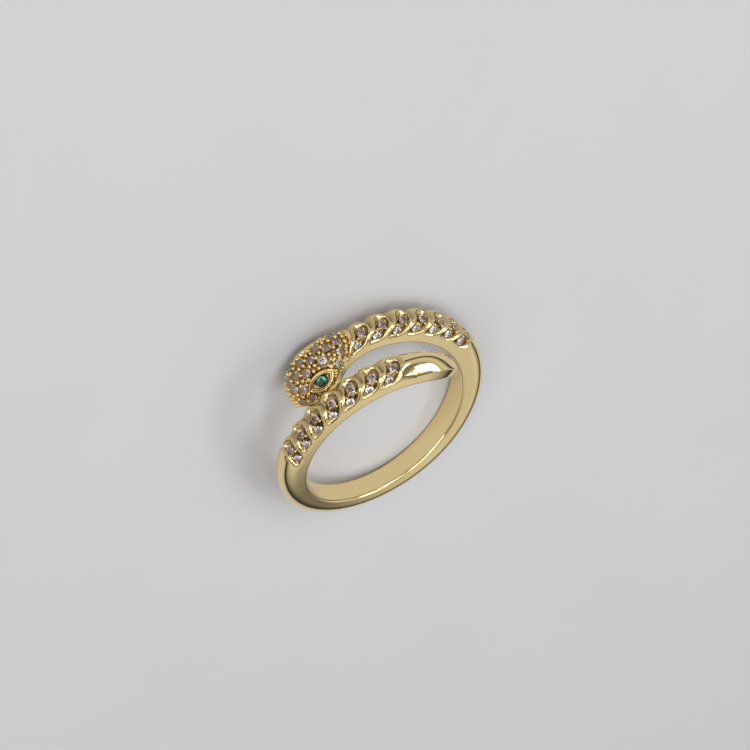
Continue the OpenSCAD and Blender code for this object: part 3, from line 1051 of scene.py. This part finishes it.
# %% Places on the head
HEAD_BEAD, HEAD_BEADS_APART, HEAD_BEADS_SMALL_FROM = 0.38, 0.47, 74
GRID_ALONG, GRID_ROUND = np.arange(206.6, 240.6, 0.4), np.arange(-84, 84.1, 1.5)
EYE_HALF_LONG, EYE_HALF_WIDE = 1.62, 0.98
LEAST_ROOM, AMPLE_ROOM, CREST_FIRST = 0.03, 0.3, 0.001


def off_eyes(points):
    """True for the points that lie outside the oval round each eye."""
    clear = np.full(len(points), True)
    for side in (1, -1):
        eye, _, way = eye_places(side)
        off = points - eye
        lengthwise = (off * way).sum(1)
        crosswise = np.sqrt(np.maximum((off**2).sum(1) - lengthwise**2, 0))
        clear &= (lengthwise / EYE_HALF_LONG) ** 2 + (crosswise / EYE_HALF_WIDE) ** 2 >= 1
    return clear


def head_beads():
    """The angles and the width of each bead on the head, the roomiest place first."""
    stones = head_places()[0]
    a, v = (g.ravel() for g in np.meshgrid(GRID_ALONG, GRID_ROUND, indexing="ij"))
    points = skin_frame(a, v)[0]
    room = np.linalg.norm(points[:, None] - stones[None], axis=2).min(1) - head_stone_d / 2
    free = (room > LEAST_ROOM) & off_eyes(points)
    order = np.argsort(-np.minimum(room, AMPLE_ROOM) - CREST_FIRST * np.cos(np.radians(v)))
    spots, taken = [], []
    for k in order[free[order]]:
        if not taken or np.linalg.norm(np.array(taken) - points[k], axis=1).min() >= HEAD_BEADS_APART:
            taken.append(points[k])
            spots.append((a[k], v[k], HEAD_BEAD if abs(v[k]) < HEAD_BEADS_SMALL_FROM else SMALL_BEAD))
    return np.array(spots)


print("places tried on the head:", len(GRID_ALONG) * len(GRID_ROUND))

# %% [markdown]
# ## Setting the beads
#
# The same tree sets the beads. In the pockets they are sunk below the skin, down to the stones' edges, and on
# the head they stand proud of it.

# %% Set the beads
BEAD_PLAY = EVEN | {"Tilt": math.radians(8), "Spin": math.tau, "Uneven": 0.15}
POCKET_BEAD_LIFT, HEAD_BEAD_LIFT = -0.18, 0.03


def bead_object(name, spots, lift, seed):
    point, out, way = skin_frame(spots[:, 0], spots[:, 1])
    tree = setting_tree("set_" + name, bead, bead_gold, True)
    return run_tree(points_object(name, (point + lift * out, out, way), spots[:, 2]), tree,
                    BEAD_PLAY | {"Seed": seed})


bead_pieces = [
    bead_object("neck_beads", pocket_beads(neck_first), POCKET_BEAD_LIFT, 11),
    bead_object("tail_beads", pocket_beads(tail_first), POCKET_BEAD_LIFT, 12),
    bead_object("head_beads", head_beads(), HEAD_BEAD_LIFT, 13)]

# %% [markdown]
# ## The eye rims
#
# Each eye sits in a raised pointed oval, which is the overlap of two discs. Its rim has two lips with a
# groove between them, and the groove, the inner edge and the seat of the stone are darkened with painted
# shade. Every ring of points is a pointed oval of its own size and height, so the corners stay crisp.
# Inside the rim the rings turn round and go down to the seat of the stone.

# %% Eye rims
eye_l, eye_w, eye_rise = 2.9, 1.62, 0.1
corner_draw, oval_points, bow_reach = 3.2, 36, 6
RIM_PROFILE = [
    (-0.03, -0.7), (-0.03, -0.12), (-0.015, -0.04), (0.02, 0.01), (0.06, 0.02), (0.10, 0.0), (0.125, -0.05),
    (0.14, -0.11), (0.165, -0.13), (0.185, -0.11), (0.20, -0.05), (0.225, -0.02), (0.25, -0.03),
    (0.27, -0.08), (0.28, -0.14)]
EYE_SEAT = [(0.48, -0.14), (0.45, -0.17), (0.25, -0.5)]
# Painted shade on the rim: how dark each ring is painted, darkest in the groove and on the inner edge.
RIM_PAINTED_SHADE_AT, RIM_PAINTED_SHADE = (0.12, 0.15, 0.18, 0.21, 0.25, 0.28), (0.0, 0.9, 0.9, 0.0, 0.0, 1.0)


def pointed_oval(length, width):
    """Points round the overlap of two discs, corner first."""
    r = (length**2 + width**2) / (4 * width)
    reach = math.asin(min(length / 2 / r, 1))
    t = np.linspace(-reach, reach, oval_points, endpoint=False)
    upper = np.stack([r * np.sin(t), r * np.cos(t) - (r - width / 2)], -1)
    return np.concatenate([upper, -upper])


def eye_frame(side):
    """The eye's middle, its way along, across and out, and how much the skin bows along it."""
    at = np.array([eye_at, eye_at - bow_reach, eye_at + bow_reach])
    point, out, way = skin_frame(at, np.full(3, side * eye_round))
    ends = point[1:] - point[0]
    bow = -(ends @ out[0]).mean() / ((ends @ way[0]) ** 2).mean()
    return point[0] + eye_rise * out[0], way[0], np.cross(out[0], way[0]), out[0], bow


def eye_rim(side, name):
    middle, way, across, out, bow = eye_frame(side)
    ring_at = lambda flat, height: at_rest(middle + flat[:, :1] * way + flat[:, 1:] * across + height * out)
    ovals = [pointed_oval(eye_l - corner_draw * inward, eye_w - 2 * inward) for inward, _ in RIM_PROFILE]
    rings = [ring_at(oval, height - bow * oval[:, :1] ** 2) for oval, (_, height) in zip(ovals, RIM_PROFILE)]
    rings += [ring_at(unit(ovals[-1]) * radius, height) for radius, height in EYE_SEAT]
    painted_groove_shade = [float(np.interp(inward, RIM_PAINTED_SHADE_AT, RIM_PAINTED_SHADE)) for inward, _ in RIM_PROFILE]
    # The seat of the stone gets full painted shade.
    shades = [np.full(len(ring), shade) for ring, shade in zip(rings, painted_groove_shade + [1.0] * len(EYE_SEAT))]
    return shown_object(name, loft(name, rings, {"recess": shades}), bead_gold)


print("each eye rim:", len(RIM_PROFILE) + len(EYE_SEAT), "rings of", 2 * oval_points, "points")

# %% [markdown]
# ## Beads in the corners of the eyes
#
# Two small beads hold each eye stone at its front corner and one at its back corner. Their places are
# listed, and they stand straight.

# %% Both eyes
CORNER_BEADS = ((0.66, 0.13), (0.7, -0.1), (-0.7, 0.0))
CORNER_BEAD, CORNER_SINK, CORNER_SEED = 0.2, 0.13, 5


def eye_corner_beads(side, name):
    middle, way, across, out, _ = eye_frame(side)
    spots = np.array([middle + forward * way + beside * across - CORNER_SINK * out
                      for forward, beside in CORNER_BEADS])
    tree = setting_tree("set_" + name, bead, bead_gold, True)
    places = (spots, np.array([out] * len(spots)), np.array([way] * len(spots)))
    return run_tree(points_object(name, places, CORNER_BEAD), tree, EVEN | {"Seed": CORNER_SEED})


rim_pieces = []
for side, word in ((1, "left"), (-1, "right")):
    rim_pieces.append(eye_rim(side, f"eye_rim_{word}"))
    rim_pieces.append(eye_corner_beads(side, f"eye_corner_beads_{word}"))

# %% [markdown]
# ## Hand over to the frame
#
# Nothing on a ring moves, so every piece rides on the one body. The imported nodes that the stones and
# the band stand in for are hidden.

# %% Ride and replace
for piece, node, slot in stone_pieces:
    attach(piece, "root")
    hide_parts(node)
for piece in [band] + bead_pieces + rim_pieces:
    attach(piece, "root")
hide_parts("band")
